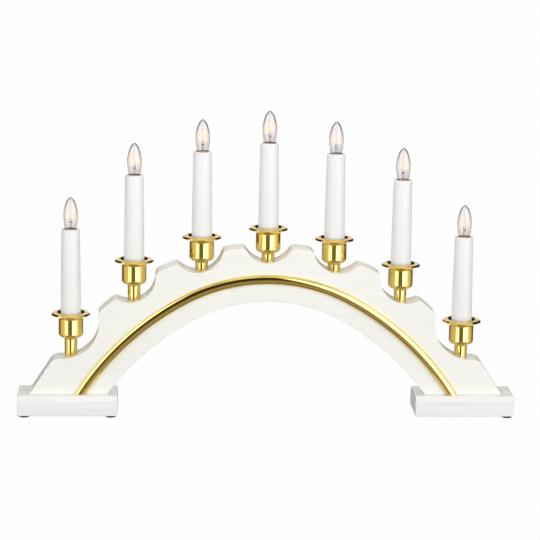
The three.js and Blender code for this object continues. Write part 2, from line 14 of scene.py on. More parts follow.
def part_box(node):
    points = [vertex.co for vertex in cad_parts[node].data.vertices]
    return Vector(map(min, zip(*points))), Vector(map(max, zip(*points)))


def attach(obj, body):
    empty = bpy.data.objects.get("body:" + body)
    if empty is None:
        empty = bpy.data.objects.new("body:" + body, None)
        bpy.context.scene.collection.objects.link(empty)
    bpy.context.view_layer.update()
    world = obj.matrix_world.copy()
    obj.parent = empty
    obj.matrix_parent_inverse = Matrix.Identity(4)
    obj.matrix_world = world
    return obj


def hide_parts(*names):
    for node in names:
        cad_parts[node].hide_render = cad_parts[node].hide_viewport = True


MM = 0.001
CANDLES = range(1, 8)
SIDES = ("left", "right")
ENDS = ("inner", "outer")
BLOCK_ENDS = [f"{side}_{end}" for side in SIDES for end in ENDS]
SQUARE = ((-1, -1), (1, -1), (1, 1), (-1, 1))
SHARP_ANGLE = 40  # edges stay sharp where faces turn more than this, in degrees
CUT_PAST = 1  # cutters run past a face by this

# Board
CROWN_RADIUS = 154.3
HAUNCH_RADIUS = 266
HAUNCH_ANGLE = math.radians(28)
OPENING_RISE = 97.4
TOP_RADIUS = 250.4
TOP_RISE = 153.8
SCALLOP_RADIUS = 26.4
SCALLOP_LIFT = 9.7
SCALLOP_LEAN = 4.5
END_SCALLOP_RADIUS = 36.8
END_SCALLOP_LEAN = 8
SHELF_RISE = 36.9
SHELF_LENGTH = 10
BUMP_ROUND = 4.5  # how far a bump's corner is rounded to each side
SHELF_ROUND = 6
BOARD_EDGE = 0.6  # radius along the front and back edges

# Wiring groove and bores
GROOVE_WIDTH = 8
GROOVE_OVER_OPENING = 10.2
GROOVE_END_RISE = 15.6
GROOVE_CHAMFER = 0.7
GROOVE_FLOOR = -1.1
BORE_GAP = 0.3
WIRE_BORE_DIAMETER = 8
WIRE_DIAMETER = 1.6
WIRE_PAIR_OFFSET = 2.2
WIRE_BEND = 3.2
RETURN_LANE = 2.4
GLAND_PAST_CANDLE = 12
GLAND_PAIR_OFFSET = 1.05
GLAND_BORE_DIAMETER = 5.2
GLAND_FLANGE = 2

# Base blocks, feet and screws
BASE_BEVEL = 5
BASE_EDGE = 0.8
FOOT_TAPER = 0.9  # a foot narrows by this to each side
FOOT_TAPER_SHARE = 0.6  # of its height
SCREW_RECESS = 8
SCREW_HOLE_DIAMETER = 4.6
SCREW_HEAD_DIAMETER = 8
SCREW_HEAD_HEIGHT = 2.6
SCREW_DIAMETER = 4
SCREW_CORE_DIAMETER = 3.2
SCREW_THREAD_HALF = 0.3
SCREW_NECK = 2  # plain length under the head
SCREW_POINT = 2
SLOT_LENGTH = 5
SLOT_WIDTH = 1.1
SLOT_DEPTH = 1.4

# Trim
TRIM_OFFSET = 23
TRIM_WIDTH = 10
TRIM_HEIGHT = 4.6
TRIM_SIDES = 28

# Cup, down from its rim
RIM_LIP = 1.1
LIP_REACH = 1.45  # the lip turns down over this last stretch
RIM_UNDER = 0.55
CREST_DIAMETER = 28.2  # the flange falls from here to the rim
CREST_RISE = 2
CREST_ROUND = 0.9
CREST_CORNER = 0.15  # the rounding takes this off the crest
LIP_ROUND = 2.0
CUP_DIAMETER = 25
CUP_WALL = 0.8
CUP_DEPTH = 20
FLARE_HEIGHT = 3.4
FLARE_ROUND = 2
SHOULDER_ROUND = 4
NECK_DIAMETER = 12.8
NECK_ROUND = 2.1
WALL_SUPPORT = 0.4  # rings this near the bends keep the wall's shading straight
SHADED_MOUTH_DIAMETER = 27.9  # the inside is darkened with painted shade up to here

# Candle tube and lamp, from the top of the tube
TUBE_TOP_DIAMETER = 18.7
TUBE_FOOT_DIAMETER = 21.5
TUBE_TOP_ROUND = 1.8
TUBE_BORE_DIAMETER = 14.2
TUBE_MOUTH_DEPTH = 2  # the bore is wider down to here
TUBE_FLOOR = 5
MOUTH_TAPER = 0.4
SPIGOT_DIAMETER = 10.6
SPIGOT_BORE_DIAMETER = 8.2
HOLDER_DIAMETER = 13.2
HOLDER_SLEEVE_RISE = 0.35
HOLDER_FLANGE = 2.6
COLLAR_DEPTH = 2.2
COLLAR_STEP = 0.3
COLLAR_GAP = 0.2  # round the glass
DISH_DEPTH = 0.6  # under the glass
DISH_WALL = 0.7
CAP_DIAMETER = 9.5
CAP_LENGTH = 7.7
CAP_TIP_LENGTH = 2.2
CAP_PLAIN_LENGTH = 1  # below the thread
CAP_COLLAR = 0.6
CONTACT_DIAMETER = 4.6
CONTACT_TIP_DIAMETER = 3.22
THREAD_PITCH = 1.81
THREAD_DEPTH = 0.35
GLASS_FOOT_DEPTH = 4
GLASS_FOOT_DIAMETER = 10
GLASS_MOUTH_DIAMETER = 12
GLASS_DIAMETER = 14.8
GLASS_BELLY_RISE = 15.5
GLASS_NECK_DIAMETER = 9.9
GLASS_NECK_RISE = 26.7
GLASS_POINT_DIAMETER = 5.4
GLASS_POINT_RISE = 30.6
GLASS_TIP_RISE = 32.8
GLASS_WALL = 0.6
FILAMENT_FOOT = 10.5
FILAMENT_TOP = 19
FILAMENT_WIDTH = 3
FILAMENT_WIRE = 0.55
LEAD_WIRE = 0.4
LEAD_SPACING = 1.5
LEAD_BEND = 2
LEAD_LAP = 0.3  # up beside the filament
BEAD_RISE = 7
BEAD_WIDTH = 3.4
BEAD_HEIGHT = 2
MOUNT_DIAMETER = 9
MOUNT_DEPTH = 0.4
MOUNT_FOOT_DIAMETER = 7.2
MOUNT_BEVEL = 0.6

# Camera, fitted to the photograph
CAMERA_TARGET = Vector((2.29, 0, 150))
CAMERA_DISTANCE = 2400
CAMERA_YAW = math.radians(-3.03)
CAMERA_PITCH = math.radians(11.67)
CAMERA_ROLL = math.radians(0.867)
CAMERA_FOCAL_PIXELS = 2346
FRAME_PIXELS = 540
SENSOR_WIDTH = 36

# Finishes
NOISE_LOW = 0.3  # most of a noise lies between these
NOISE_HIGH = 0.7
LIGHT_BOARD = (0.901, 0.905, 0.856)
DEEP_BOARD = (0.895, 0.899, 0.850)
LIGHT_BASE = (0.905, 0.898, 0.889)
DEEP_BASE = (0.874, 0.865, 0.855)
LIGHT_BRASS = (0.84, 0.64, 0.22)
DEEP_BRASS = (0.80, 0.60, 0.18)
LIGHT_CANDLE = (0.872, 0.875, 0.869)
DEEP_CANDLE = (0.850, 0.853, 0.846)
CLEAR_GLASS = (0.91, 0.91, 0.925)
PAINTED_GLOW_GLASS = (0.975, 0.91, 0.87)
GREY_GLASS = (0.80, 0.785, 0.785)
# Up the lamp, from 0 at the top of the tube to 1 at the tip: tint, with a painted warm glow from the
# filament in the middle, and how far edge-on walls darken
GLASS_TINT = [(0.12, GREY_GLASS), (0.38, PAINTED_GLOW_GLASS), (0.62, PAINTED_GLOW_GLASS), (0.85, CLEAR_GLASS)]
GLASS_EDGE_BY_HEIGHT = [(0.05, 0.42), (0.3, 0.58), (0.6, 0.70), (0.85, 0.86)]
GLASS_EDGE_SHADE = [(0.15, 1.0), (0.42, (0.45, 0.44, 0.45)), (0.65, (0.14, 0.14, 0.14))]
# Up the filament
FILAMENT_GLOW = [(0.0, (1.0, 0.80, 0.40)), (0.4, (1.0, 0.90, 0.60)), (1.0, (1.0, 0.94, 0.74))]

# Floor
FLOOR_REACH = 8000
FLOOR_GREY = 0.45
FLOOR_WHITENESS = 0.985  # share of even white where the camera sees it

# World: what the camera sees behind the arch
WHITE = (1, 1, 1)
# What polished metal sees round the arch
LEFT_BOX = (2.3, 2.3, 2.4)
RIGHT_BOX = (3.7, 3.7, 3.7)
PALE_WALL = (1.6, 1.65, 1.75)
SIDE_WALL = (0.82, 0.76, 0.48)
DIM_WALL = (0.33, 0.25, 0.08)
BEHIND = (0.16, 0.12, 0.05)
BACKDROP = (0.90, 0.86, 0.86)
FAR_TABLE = (0.20, 0.18, 0.09)
PALE_TABLE = (0.95, 0.90, 0.82)
MID_TABLE = (0.40, 0.38, 0.36)
NEAR_TABLE = (0.26, 0.23, 0.18)
DIM_ROOM = (0.26, 0.22, 0.14)
DARK_ROOM = (0.03, 0.025, 0.02)
CEILING = (0.80, 0.72, 0.62)
ZENITH = (1.25, 1.25, 1.25)
# Its colours at each level, by angle or angles from the front
LOW_LEVEL = [
    (-165, PALE_TABLE),
    (-140, -110, NEAR_TABLE),
    (-80, -55, PALE_TABLE),
    (-38, 42, MID_TABLE),
    (58, 85, PALE_TABLE),
    (112, 140, NEAR_TABLE),
    (165, PALE_TABLE),
]
TABLE_LEVEL = [
    (-140, BEHIND),
    (-116, DIM_WALL),
    (-97, -60, SIDE_WALL),
    (-53, -27, LEFT_BOX),
    (-24.5, 13, FAR_TABLE),
    (15.5, 41, RIGHT_BOX),
    (56, PALE_WALL),
    (76, 97, SIDE_WALL),
    (112, DIM_WALL),
    (126, BEHIND),
]
EYE_LEVEL = [
    (-166, BACKDROP),
    (-156, -104, BEHIND),
    (-98, -46, LEFT_BOX),
    (-40, 14, DIM_ROOM),
    (19, 55, RIGHT_BOX),
    (80, SIDE_WALL),
    (104, 152, BEHIND),
    (162, BACKDROP),
]
UPPER_LEVEL = [
    (-168, BACKDROP),
    (-158, -104, DARK_ROOM),
    (-98, -47, LEFT_BOX),
    (-42, 9, DARK_ROOM),
    (15, 74, RIGHT_BOX),
    (84, 158, DARK_ROOM),
    (167, BACKDROP),
]
# From below to above: the height in degrees at which each level starts, its blur, and its colours
STUDIO = [
    (-48, 8, LOW_LEVEL),
    (-17, 3, TABLE_LEVEL),
    (1, 2, EYE_LEVEL),
    (6, 3, UPPER_LEVEL),
    (51, 4, CEILING),
    (74, 4, ZENITH),
]
# What lights matt surfaces, by angle from the front, and overhead from a height in degrees
ROOM = (0.34, 0.34, 0.35)
WARM_ROOM = (0.12, 0.105, 0.085)
PALE_BACK = (1.27, 1.23, 1.20)
ROOM_LEVEL = [(-150, PALE_BACK), (-105, 105, ROOM), (150, PALE_BACK)]
WARM_ROOM_HEIGHT = 45
WARM_ROOM_BLUR = 25
# Softboxes: angle from the front, distance, width, lower and upper edge, and radiance
SOFTBOXES = {
    "softbox_left": (-40, 1700, 1240, -600, 1400, 3.1),
    "softbox_right": (43, 1700, 1500, -600, 1400, 2.98),
}
# Softbox above the crown
TOP_LAMP_HEIGHT = 720
TOP_LAMP_WIDTH = 460
TOP_LAMP_DEPTH = 360
TOP_LAMP_RADIANCE = 1.75

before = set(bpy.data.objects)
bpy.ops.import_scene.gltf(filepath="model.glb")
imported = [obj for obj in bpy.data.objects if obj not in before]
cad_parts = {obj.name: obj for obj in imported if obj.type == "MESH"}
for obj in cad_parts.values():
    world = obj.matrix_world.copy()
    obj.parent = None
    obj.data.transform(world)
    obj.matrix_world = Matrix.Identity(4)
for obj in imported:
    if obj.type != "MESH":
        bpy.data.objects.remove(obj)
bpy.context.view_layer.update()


def low(node):
    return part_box(node)[0] / MM


def high(node):
    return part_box(node)[1] / MM


def middle(node):
    return (low(node) + high(node)) / 2


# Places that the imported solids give
BLOCK_TOP = high("base_left").z
BOARD_BACK = high("arch_board").y
BOARD_END = high("arch_board").x
CANDLE_X = [middle(f"cup_{n}").x for n in CANDLES]
RIM_Z = [high(f"cup_{n}").z - CREST_RISE for n in CANDLES]
TUBE_TOP = [high(f"candle_tube_{n}").z for n in CANDLES]
NECK_FOOT = [low(f"cup_{n}").z for n in CANDLES]
RIM_RADIUS = high("cup_4").y
CUP_HEIGHT = RIM_Z[0] - NECK_FOOT[0]
CUP_FLOOR = -CUP_DEPTH - SHOULDER_ROUND + CUP_WALL
TUBE_RISE = TUBE_TOP[0] - RIM_Z[0]
TUBE_LENGTH = TUBE_TOP[0] - low("candle_tube_1").z
HOLDER_DEPTH = TUBE_TOP[0] - low("lamp_holder_1").z
OUTER_CANDLE = CANDLE_X[-1]
OPENING_CENTRE = BLOCK_TOP + OPENING_RISE - CROWN_RADIUS
HAUNCH_SHIFT = HAUNCH_RADIUS - CROWN_RADIUS
HAUNCH_X = HAUNCH_SHIFT * math.sin(HAUNCH_ANGLE)
HAUNCH_Z = OPENING_CENTRE - HAUNCH_SHIFT * math.cos(HAUNCH_ANGLE)
TOP_CENTRE = BLOCK_TOP + TOP_RISE - TOP_RADIUS
SHELF_Z = BLOCK_TOP + SHELF_RISE
SHELF_START = OUTER_CANDLE + END_SCALLOP_LEAN
SHELF_END = SHELF_START + SHELF_LENGTH
GROOVE_CROWN = BLOCK_TOP + OPENING_RISE + GROOVE_OVER_OPENING
GROOVE_DROP = GROOVE_CROWN - BLOCK_TOP - GROOVE_END_RISE
GROOVE_RADIUS = (OUTER_CANDLE**2 + GROOVE_DROP**2) / (2 * GROOVE_DROP)
GROOVE_CENTRE = GROOVE_CROWN - GROOVE_RADIUS
GROOVE_START = -math.asin(OUTER_CANDLE / GROOVE_RADIUS)
GLAND_ANGLE = GLAND_PAST_CANDLE / GROOVE_RADIUS - GROOVE_START
GLAND_X = GROOVE_RADIUS * math.sin(GLAND_ANGLE)
GLAND_Z = GROOVE_CENTRE + GROOVE_RADIUS * math.cos(GLAND_ANGLE)
GLAND = Vector((GLAND_X, BOARD_BACK, GLAND_Z))


# Plane curves: points are (across, up) pairs, and angles run from up towards +X


def arc(x, z, radius, start, end, steps):
    angles = [start + (end - start) * i / steps for i in range(steps + 1)]
    return [Vector((x + radius * math.sin(a), z + radius * math.cos(a))) for a in angles]


def trimmed(stroke, distance):
    """The stroke without its last stretch of that length."""
    points = list(stroke)
    while len(points) > 2 and (points[-1] - points[-2]).length <= distance:
        distance -= (points[-1] - points[-2]).length
        points.pop()
    step = points[-1] - points[-2]
    points[-1] = points[-1] - step.normalized() * min(distance, step.length * 0.9)
    return points


def joined(runs, steps=8):
    """Strokes joined end to end, each with the distance by which the corner after it is rounded off."""
    strokes = [list(stroke) for stroke, _ in runs]
    rounds = [distance for _, distance in runs]
    corners = [s[-1].copy() for s in strokes]
    for i, distance in enumerate(rounds):
        if distance:
            after = (i + 1) % len(strokes)
            strokes[i] = trimmed(strokes[i], distance)
            strokes[after] = trimmed(strokes[after][::-1], distance)[::-1]
    outline = []
    for i, distance in enumerate(rounds):
        outline += strokes[i] if distance else strokes[i][:-1]
        if not distance:
            continue
        start, corner, end = strokes[i][-1], corners[i], strokes[(i + 1) % len(strokes)][0]
        for k in range(1, steps):
            t = k / steps
            outline.append(start * (1 - t) ** 2 + corner * 2 * t * (1 - t) + end * t**2)
    return outline


def filleted(corners, steps=6):
    """Corner points (across, up, radius) to a closed outline with true arcs at the corners."""
    outline = []
    count = len(corners)
    for i, (x, z, radius) in enumerate(corners):
        here = Vector((x, z))
        if radius == 0:
            outline.append(here)
            continue
        back = (Vector(corners[i - 1][:2]) - here).normalized()
        ahead = (Vector(corners[(i + 1) % count][:2]) - here).normalized()
        half = back.angle(ahead) / 2
        centre = here + (back + ahead).normalized() * radius / math.sin(half)
        start = here + back * radius / math.tan(half) - centre
        turn = start.angle_signed(here + ahead * radius / math.tan(half) - centre)
        for k in range(steps + 1):
            outline.append(centre + Matrix.Rotation(-turn * k / steps, 2) @ start)
    return outline


def inset(outline, distance):
    """A closed outline moved inwards by a small distance."""
    count = len(outline)
    area = sum(outline[i - 1].cross(outline[i]) for i in range(count))
    side = math.copysign(distance, area)
    moved = []
    for i, here in enumerate(outline):
        before = (here - outline[i - 1]).normalized()
        after = (outline[(i + 1) % count] - here).normalized()
        along = (before + after).normalized()
        stretch = max(0.5, along.dot(after))
        moved.append(here + Vector((-along.y, along.x)) * side / stretch)
    return moved


def opening_curve(offset, foot_z, haunch_steps=36, crown_steps=48):
    """The three-centred opening moved outwards by an offset, from its left foot to its right foot."""
    haunch = HAUNCH_RADIUS + offset
    foot = math.acos((foot_z - HAUNCH_Z) / haunch)
    left = arc(HAUNCH_X, HAUNCH_Z, haunch, -foot, -HAUNCH_ANGLE, haunch_steps)
    crown = arc(0, OPENING_CENTRE, CROWN_RADIUS + offset, -HAUNCH_ANGLE, HAUNCH_ANGLE, crown_steps)
    right = arc(-HAUNCH_X, HAUNCH_Z, haunch, HAUNCH_ANGLE, foot, haunch_steps)
    return left + crown[1:] + right[1:]


def scallop(x):
    """Centre and radius of the seat under the candle at x."""
    side = math.copysign(1, x) if abs(x) > 1 else 0
    if abs(x) > OUTER_CANDLE - 1:
        return Vector((side * SHELF_START, SHELF_Z + END_SCALLOP_RADIUS)), END_SCALLOP_RADIUS
    across = x + side * SCALLOP_LEAN
    ring = TOP_RADIUS + SCALLOP_LIFT
    return Vector((across, TOP_CENTRE + math.sqrt(ring**2 - across**2))), SCALLOP_RADIUS


def board_outline():
    """The scalloped board as seen from the front, from its left foot round to the right and back."""
    hub = Vector((0, TOP_CENTRE))
    left_foot, right_foot = Vector((-BOARD_END, BLOCK_TOP)), Vector((BOARD_END, BLOCK_TOP))
    runs = [([left_foot, Vector((-SHELF_END, SHELF_Z))], SHELF_ROUND)]
    left_edge = None
    for x in CANDLE_X:
        centre, radius = scallop(x)
        reach = (centre - hub).length
        heading = math.atan2(centre.x, centre.y - TOP_CENTRE)
        spread = math.acos((TOP_RADIUS**2 + reach**2 - radius**2) / (2 * TOP_RADIUS * reach))
        ends = []
        for angle in (heading - spread, heading + spread):
            point = hub + TOP_RADIUS * Vector((math.sin(angle), math.cos(angle)))
            ends.append(math.atan2(point.x - centre.x, point.y - centre.y))
        first = ends[0] + 2 * math.pi
        last = ends[1]
        if left_edge is None:
            runs.append(([Vector((-SHELF_END, SHELF_Z)), Vector((-SHELF_START, SHELF_Z))], 0))
            first = math.pi
        else:
            runs.append((arc(hub.x, hub.y, TOP_RADIUS, left_edge, heading - spread, 16), BUMP_ROUND))
        at_right_end = x == CANDLE_X[-1]
        seat = arc(centre.x, centre.y, radius, first, math.pi if at_right_end else last, 40)
        runs.append((seat, 0 if at_right_end else BUMP_ROUND))
        left_edge = heading + spread
    opening = opening_curve(0, BLOCK_TOP)[::-1]
    runs += [
        ([Vector((SHELF_START, SHELF_Z)), Vector((SHELF_END, SHELF_Z))], SHELF_ROUND),
        ([Vector((SHELF_END, SHELF_Z)), right_foot], 0),
        ([right_foot, opening[0]], 0),
        (opening, 0),
        ([opening[-1], left_foot], 0),
    ]
    return joined(runs)


# Meshes


def new_piece(name, points, faces, sharp_angle=SHARP_ANGLE):
    """A smooth-shaded mesh from points in millimetres, with edges kept sharp where faces turn hard."""
    mesh = bpy.data.meshes.new(name)
    mesh.from_pydata([Vector(p) * MM for p in points], [], faces)
    bm = bmesh.new()
    bm.from_mesh(mesh)
    bmesh.ops.recalc_face_normals(bm, faces=bm.faces)
    bmesh.ops.triangulate(bm, faces=[f for f in bm.faces if len(f.verts) > 4])
    bm.to_mesh(mesh)
    bm.free()
    mesh.polygons.foreach_set("use_smooth", [True] * len(mesh.polygons))
    mesh.set_sharp_from_angle(angle=math.radians(sharp_angle))
    piece = bpy.data.objects.new(name, mesh)
    bpy.context.scene.collection.objects.link(piece)
    return piece


def stacked(name, rings, loop=False, **settings):
    """A skin over rings of points that all have the same count, closed at its ends or into a loop."""
    count = len(rings[0])
    points = [p for ring in rings for p in ring]
    faces = []
    for k in range(len(rings) if loop else len(rings) - 1):
        a, b = k * count, (k + 1) % len(rings) * count
        faces += [(a + i, a + (i + 1) % count, b + (i + 1) % count, b + i) for i in range(count)]
    if not loop:
        faces.append(tuple(range(count))[::-1])
        faces.append(tuple(range(len(points) - count, len(points))))
    return new_piece(name, points, faces, **settings)


def turned(name, profile, sides=64, **settings):
    """A closed (radius, height) profile turned about Z."""
    profile = [p for i, p in enumerate(profile) if (p - profile[i - 1]).length > 1e-4]
    rings = []
    for i in range(sides):
        angle = 2 * math.pi * i / sides
        rings.append([(p.x * math.cos(angle), p.x * math.sin(angle), p.y) for p in profile])
    piece = stacked(name, rings, loop=True, **settings)
    bm = bmesh.new()
    bm.from_mesh(piece.data)
    bmesh.ops.remove_doubles(bm, verts=bm.verts, dist=1e-7)
    bmesh.ops.dissolve_degenerate(bm, edges=bm.edges, dist=1e-7)
    bm.to_mesh(piece.data)
    bm.free()
    return piece


def slab(name, outline, start, end, to_space, edge, steps=4):
    """An outline made solid between two depths, with its edges rounded."""
    front, back = [], []
    for k in range(steps + 1):
        angle = math.pi / 2 * k / steps
        ring = inset(outline, edge * (1 - math.sin(angle)))
        depth = edge * (1 - math.cos(angle))
        front.append([to_space(p, start + depth) for p in ring])
        back.append([to_space(p, end - depth) for p in ring])
    return stacked(name, front + back[::-1])


def facing_front(point, depth):
    return (point.x, depth, point.y)


def along_x(point, depth):
    return (depth, point.x, point.y)


def upright(radius, bottom, top, x, sides=32):
    """A cutter for an upright bore in the middle of the depth."""
    profile = [Vector(p) for p in ((0, bottom), (radius, bottom), (radius, top), (0, top))]
    piece = turned("bore", profile, sides)
    piece.location.x = x * MM
    return piece


def carved(piece, cutters):
    """The piece with the cutters taken out of it; the cutters are used up."""
    for cutter in cutters:
        modifier = piece.modifiers.new("cut", "BOOLEAN")
        modifier.operation = "DIFFERENCE"
        modifier.solver = "EXACT"
        modifier.object = cutter
    bpy.context.view_layer.update()
    result = bpy.data.meshes.new_from_object(piece.evaluated_get(bpy.context.evaluated_depsgraph_get()))
    piece.modifiers.clear()
    piece.data = result
    result.set_sharp_from_angle(angle=math.radians(SHARP_ANGLE))
    for cutter in cutters:
        bpy.data.objects.remove(cutter)
    return piece


def even_shading(piece):
    """Flat faces stay flat beside their rounded edges."""
    modifier = piece.modifiers.new("even_shading", "WEIGHTED_NORMAL")
    modifier.keep_sharp = True
    modifier.weight = 100
    return piece


def bent(corners, radius, steps=6):
    """Corner points to a path whose corners are bent to a radius, or less where a stretch is short."""
    path = [corners[0]]
    for i in range(1, len(corners) - 1):
        here = corners[i]
        back = corners[i - 1] - here
        ahead = corners[i + 1] - here
        half = back.angle(ahead) / 2
        room = min(back.length, ahead.length) / 2
        reach = min(radius / math.tan(half), room)
        start = here + back.normalized() * reach
        end = here + ahead.normalized() * reach
        if reach < 0.05:
            path.append(here)
            continue
        for k in range(steps + 1):
            t = k / steps
            path.append(start * (1 - t) ** 2 + here * 2 * t * (1 - t) + end * t**2)
    path.append(corners[-1])
    return path


def rod(name, path, radius, sides=12):
    """A round rod along a path."""
    rings = []
    side = None
    for i, here in enumerate(path):
        along = (path[min(i + 1, len(path) - 1)] - path[max(i - 1, 0)]).normalized()
        if side is None:
            side = along.orthogonal().normalized()
        side = (side - along * side.dot(along)).normalized()
        up = along.cross(side)
        angles = [2 * math.pi * k / sides for k in range(sides)]
        rings.append([here + (side * math.cos(a) + up * math.sin(a)) * radius for a in angles])
    return stacked(name, rings)


# Materials


class Tree:
    """A node tree, with helpers that take and give sockets."""

    def __init__(self, tree):
        self.nodes, self.links = tree.nodes, tree.links

    def add(self, kind, output, inputs, **settings):
        """An output of a new node, whose inputs are linked to sockets or set to values."""
        node = self.nodes.new("ShaderNode" + kind)
        for name, value in settings.items():
            setattr(node, name, value)
        for name, value in inputs.items():
            if isinstance(value, bpy.types.NodeSocket):
                self.links.new(value, node.inputs[name])
            else:
                node.inputs[name].default_value = value
        return node.outputs[output]

    def math(self, operation, *values):
        return self.add("Math", "Value", dict(enumerate(values)), operation=operation)

    def mix(self, share, first, second, blend="MIX"):
        first, second = [(*c, 1) if isinstance(c, tuple) else c for c in (first, second)]
        inputs = {"Factor": share, "A": first, "B": second}
        return self.add("Mix", "Result", inputs, data_type="RGBA", blend_type=blend)

    def span(self, value, start, end, interpolation="LINEAR"):
        """The value as 0 at start and 1 at end."""
        inputs = {"Value": value, "From Min": start, "From Max": end}
        return self.add("MapRange", "Result", inputs, interpolation_type=interpolation)

    def ramp(self, value, stops):
        """A colour, or a grey value, for each place along a 0 to 1 value."""
        output = self.add("ValToRGB", "Color", {"Fac": value})
        elements = output.node.color_ramp.elements
        while len(elements) < len(stops):
            elements.new(0.5)
        for element, (position, colour) in zip(elements, stops):
            element.position = position
            element.color = (*colour, 1) if isinstance(colour, tuple) else (colour, colour, colour, 1)
        return output

    def seen(self):
        """1 for rays from the camera, also through glass, and 0 for others."""
        rays = self.nodes.new("ShaderNodeLightPath").outputs
        return self.math("MAXIMUM", rays["Is Camera Ray"], rays["Is Transmission Ray"])


class Finish(Tree):
    """A material with helpers for its procedural detail, all in object coordinates."""

    def __init__(self, name, **values):
        self.material = bpy.data.materials.new(name)
        self.material.use_nodes = True
        super().__init__(self.material.node_tree)
        self.shader = self.nodes["Principled BSDF"]
        self.place = self.nodes.new("ShaderNodeTexCoord").outputs["Object"]
        for socket, value in values.items():
            self.shader.inputs[socket.replace("_", " ").title().replace("Ior", "IOR")].default_value = value

    def noise(self, scale, stretch=(1, 1, 1), detail=4):
        """Noise with about scale features per metre, drawn out along an axis where stretch is small."""
        place = self.add("Mapping", "Vector", {"Vector": self.place, "Scale": stretch})
        return self.add("TexNoise", "Fac", {"Vector": place, "Scale": scale, "Detail": detail})

    def multiply(self, first, second):
        return self.mix(1, first, second, "MULTIPLY")

    def height(self):
        return self.add("SeparateXYZ", "Z", {"Vector": self.place})

    def set(self, socket, value):
        self.links.new(value, self.shader.inputs[socket])

    def vary(self, socket, noise, first, second):
        """Sets a socket between two values or colours along a noise."""
        self.set(socket, self.ramp(noise, [(NOISE_LOW, first), (NOISE_HIGH, second)]))

    def bump(self, noise, depth, strength):
        inputs = {"Height": noise, "Distance": depth * MM, "Strength": strength}
        self.set("Normal", self.add("Bump", "Normal", inputs))


def white_lacquer(name, light, dark, streak, relief):
    """White lacquer over wood whose grain still shows a little, along X."""
    finish = Finish(name, specular_ior_level=0.35)
    grain = finish.noise(30, stretch=(0.25, 6, 6), detail=6)
    cloud = finish.noise(14, detail=3)
    colour = finish.ramp(grain, [(NOISE_LOW, dark), (0.62, light)])
    shade = finish.ramp(cloud, [(NOISE_LOW, streak), (NOISE_HIGH, 1.0)])
    finish.set("Base Color", finish.multiply(colour, shade))
    finish.vary("Roughness", finish.noise(60, stretch=(0.3, 3, 3)), 0.24, 0.33)
    finish.bump(finish.noise(220, stretch=(0.12, 1, 1), detail=5), 0.06, relief)
    return finish.material


def polished_brass():
    finish = Finish("polished_brass", metallic=1)
    finish.vary("Base Color", finish.noise(90, detail=3), DEEP_BRASS, LIGHT_BRASS)
    gloss = finish.noise(160, stretch=(1, 1, 4), detail=5)
    finish.set("Roughness", finish.ramp(gloss, [(NOISE_LOW, 0.04), (0.75, 0.08)]))
    finish.bump(finish.noise(900, stretch=(1, 1, 0.2), detail=2), 0.004, 0.4)
    return finish.material


def candle_plastic():
    finish = Finish("candle_plastic", specular_ior_level=0.25)
    finish.vary("Base Color", finish.noise(45, stretch=(1, 1, 0.3)), DEEP_CANDLE, LIGHT_CANDLE)
    finish.vary("Roughness", finish.noise(120, stretch=(1, 1, 0.4)), 0.33, 0.42)
    finish.bump(finish.noise(700, stretch=(1, 1, 0.5), detail=3), 0.02, 0.3)
    return finish.material


def moulded_plastic(name, colour, roughness):
    finish = Finish(name)
    deep = tuple(c * 0.86 for c in colour)
    finish.vary("Base Color", finish.noise(150), deep, colour)
    finish.vary("Roughness", finish.noise(300), roughness - 0.08, roughness + 0.06)
    finish.bump(finish.noise(1800, detail=2), 0.02, 0.4)
    return finish.material


def lamp_glass():
    """Clear glass, with a painted warm glow where the filament lights it, and greyer where the wall is seen
    edge-on.
    """
    finish = Finish("lamp_glass", transmission_weight=1, roughness=0.0, ior=1.3)
    rise = finish.span(finish.height(), 0, GLASS_TIP_RISE * MM)
    edge = finish.add("LayerWeight", "Facing", {"Blend": 0.4})
    wall = finish.math("MULTIPLY", edge, finish.ramp(rise, GLASS_EDGE_BY_HEIGHT))
    shade = finish.ramp(wall, GLASS_EDGE_SHADE)
    finish.set("Base Color", finish.multiply(finish.ramp(rise, GLASS_TINT), shade))
    return finish.material


def filament_glow():
    finish = Finish("filament_glow", emission_strength=1.0, roughness=0.5, base_color=(0.1, 0.09, 0.06, 1))
    rise = finish.span(finish.height(), FILAMENT_FOOT * MM, FILAMENT_TOP * MM)
    finish.set("Emission Color", finish.ramp(rise, FILAMENT_GLOW))
    return finish.material


def bright_metal(name, colour, roughness):
    finish = Finish(name, metallic=1)
    dull = tuple(c * 0.8 for c in colour)
    finish.vary("Base Color", finish.noise(200), dull, colour)
    finish.vary("Roughness", finish.noise(400, detail=5), roughness, roughness + 0.15)
    finish.bump(finish.noise(1500, stretch=(1, 1, 3), detail=2), 0.01, 0.3)
    return finish.material


def foot_rubber():
    finish = Finish("foot_rubber", specular_ior_level=0.05)
    finish.vary("Base Color", finish.noise(300), 0.006, 0.014)
    finish.vary("Roughness", finish.noise(500), 0.65, 0.85)
    finish.bump(finish.noise(1600, detail=3), 0.05, 0.5)
    return finish.material


BOARD_LACQUER = white_lacquer("board_lacquer", LIGHT_BOARD, DEEP_BOARD, 0.995, 0.07)
BASE_LACQUER = white_lacquer("base_lacquer", LIGHT_BASE, DEEP_BASE, 0.975, 0.3)
BRASS = polished_brass()
# Near-black brass for the hollow of each cup: painted shade
PAINTED_SHADE_BRASS = bright_metal("brass_painted_shade", (0.07, 0.035, 0.012), 0.4)
CANDLE_PLASTIC = candle_plastic()
HOLDER_PLASTIC = moulded_plastic("holder_plastic", (0.62, 0.43, 0.27), 0.55)
GLASS = lamp_glass()
FILAMENT = filament_glow()
LAMP_METAL = bright_metal("lamp_metal", (0.72, 0.58, 0.34), 0.25)
LEAD_METAL = bright_metal("lead_metal", (0.30, 0.28, 0.27), 0.35)
STEEL = bright_metal("screw_steel", (0.60, 0.61, 0.62), 0.3)
MOUNT = moulded_plastic("lamp_mount", (0.74, 0.60, 0.46), 0.5)
BEAD = moulded_plastic("bead_glass", (0.40, 0.33, 0.29), 0.25)
RUBBER = foot_rubber()
